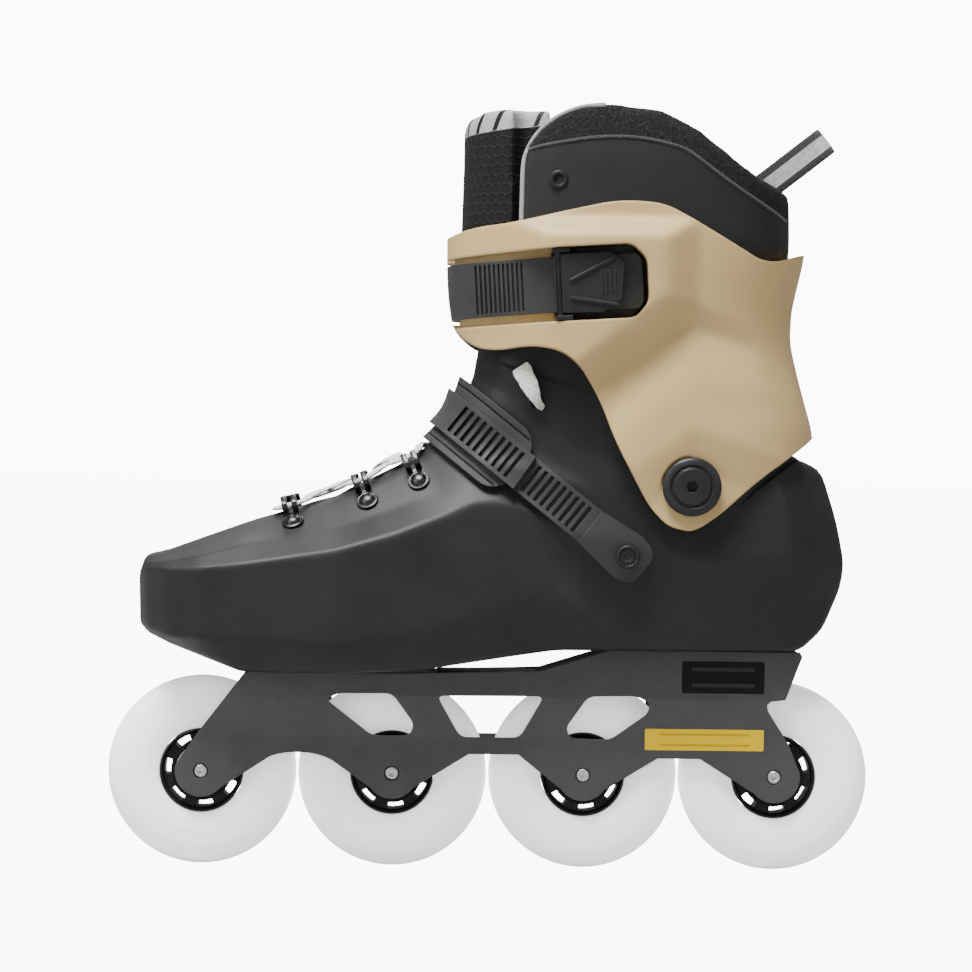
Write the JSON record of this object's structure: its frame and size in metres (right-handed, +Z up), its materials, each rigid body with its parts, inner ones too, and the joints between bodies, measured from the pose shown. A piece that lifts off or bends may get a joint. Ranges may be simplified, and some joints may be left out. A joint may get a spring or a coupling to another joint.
{
  "type": "inline skate",
  "caption": "Left hard-shell inline skate with a hinged ankle cuff, laced liner, ratchet straps and an aluminium frame carrying urethane wheels.",
  "frame": {"origin": "on the ground under the middle of the wheelbase, midway between the second and third axles", "axes": "+Z up from the ground, toe toward -X and heel toward +X, outer (lateral) side of the foot toward -Y"},
  "size_m": [0.323, 0.114, 0.3231],
  "materials": {
    "anodised_frame": "satin dark anodised",
    "tyre": "smooth cast urethane",
    "hub_plastic": "moulded",
    "bearing_steel": "ground",
    "steel": "zinc plated",
    "shell_plastic": "fine matte grain",
    "liner_fabric": "heathered knit over foam",
    "tongue_mesh": "hexagonal mesh",
    "insole_felt": "felt",
    "webbing": "woven",
    "cuff_plastic": "satin moulded",
    "black_plastic": "satin moulded",
    "pad_rubber": "matte",
    "dark_metal": "burnished dark",
    "lace_cord": "flat woven"
  },
  "bodies": {
    "boot": {"frame": "anodised_frame", "spacer_1": "steel", "axle_1": "steel", "spacer_2": "steel", "axle_2": "steel", "spacer_3": "steel", "axle_3": "steel", "spacer_4": "steel", "axle_4": "steel", "mount_bolt_front": "steel", "mount_bolt_rear": "steel", "instep_buckle_pin": "steel", "shell": "shell_plastic", "liner_foot": "liner_fabric", "tongue_lower": "tongue_mesh", "insole": "insole_felt", "instep_strap": "black_plastic", "instep_buckle_base": "black_plastic", "instep_pad": "pad_rubber", "instep_screw_outer": "dark_metal", "instep_screw_inner": "dark_metal", "hook_1_outer": "dark_metal", "hook_1_inner": "dark_metal", "hook_2_outer": "dark_metal", "hook_2_inner": "dark_metal", "hook_3_outer": "dark_metal", "hook_3_inner": "dark_metal", "lace": "lace_cord"},
    "wheel_1": {"tyre_1": "tyre", "hub_1": "hub_plastic", "bearing_1_outer": "bearing_steel", "bearing_1_inner": "bearing_steel"},
    "wheel_2": {"tyre_2": "tyre", "hub_2": "hub_plastic", "bearing_2_outer": "bearing_steel", "bearing_2_inner": "bearing_steel"},
    "wheel_3": {"tyre_3": "tyre", "hub_3": "hub_plastic", "bearing_3_outer": "bearing_steel", "bearing_3_inner": "bearing_steel"},
    "wheel_4": {"tyre_4": "tyre", "hub_4": "hub_plastic", "bearing_4_outer": "bearing_steel", "bearing_4_inner": "bearing_steel"},
    "cuff": {"cuff": "cuff_plastic", "cuff_pivot_outer": "black_plastic", "cuff_pivot_inner": "black_plastic", "cuff_strap": "black_plastic", "cuff_strap_rivet": "black_plastic", "cuff_buckle_base": "black_plastic", "cuff_buckle_pin": "steel", "liner_collar": "liner_fabric", "tongue_upper": "tongue_mesh", "eyelet_outer": "black_plastic", "eyelet_inner": "black_plastic", "pull_tab": "webbing"},
    "cuff_lever": {"cuff_buckle_lever": "black_plastic"},
    "instep_lever": {"instep_buckle_lever": "black_plastic"}
  },
  "joints": [
    {"name": "wheel_1_spin", "type": "hinge", "parent": "boot", "child": "wheel_1", "pos_m": [-0.1215, 0, 0.04], "axis": [0, 1, 0], "continuous": true},
    {"name": "wheel_2_spin", "type": "hinge", "parent": "boot", "child": "wheel_2", "pos_m": [-0.0405, 0, 0.04], "axis": [0, 1, 0], "continuous": true},
    {"name": "wheel_3_spin", "type": "hinge", "parent": "boot", "child": "wheel_3", "pos_m": [0.0405, 0, 0.04], "axis": [0, 1, 0], "continuous": true},
    {"name": "wheel_4_spin", "type": "hinge", "parent": "boot", "child": "wheel_4", "pos_m": [0.1215, 0, 0.04], "axis": [0, 1, 0], "continuous": true},
    {"name": "cuff_flex", "type": "hinge", "parent": "boot", "child": "cuff", "pos_m": [0.0834, 0, 0.1629], "axis": [0, 1, 0], "range_deg": [-6, 1.5]},
    {"name": "cuff_lever_open", "type": "hinge", "parent": "cuff", "child": "cuff_lever", "pos_m": [0.02703, -0.0553, 0.24638], "axis": [0.0628, 0, -0.998], "range_deg": [0, 75]},
    {"name": "instep_lever_open", "type": "hinge", "parent": "boot", "child": "instep_lever", "pos_m": [0.04682, 0.054, 0.14159], "axis": [-0.622, 0, -0.783], "range_deg": [0, 75]}
  ]
}
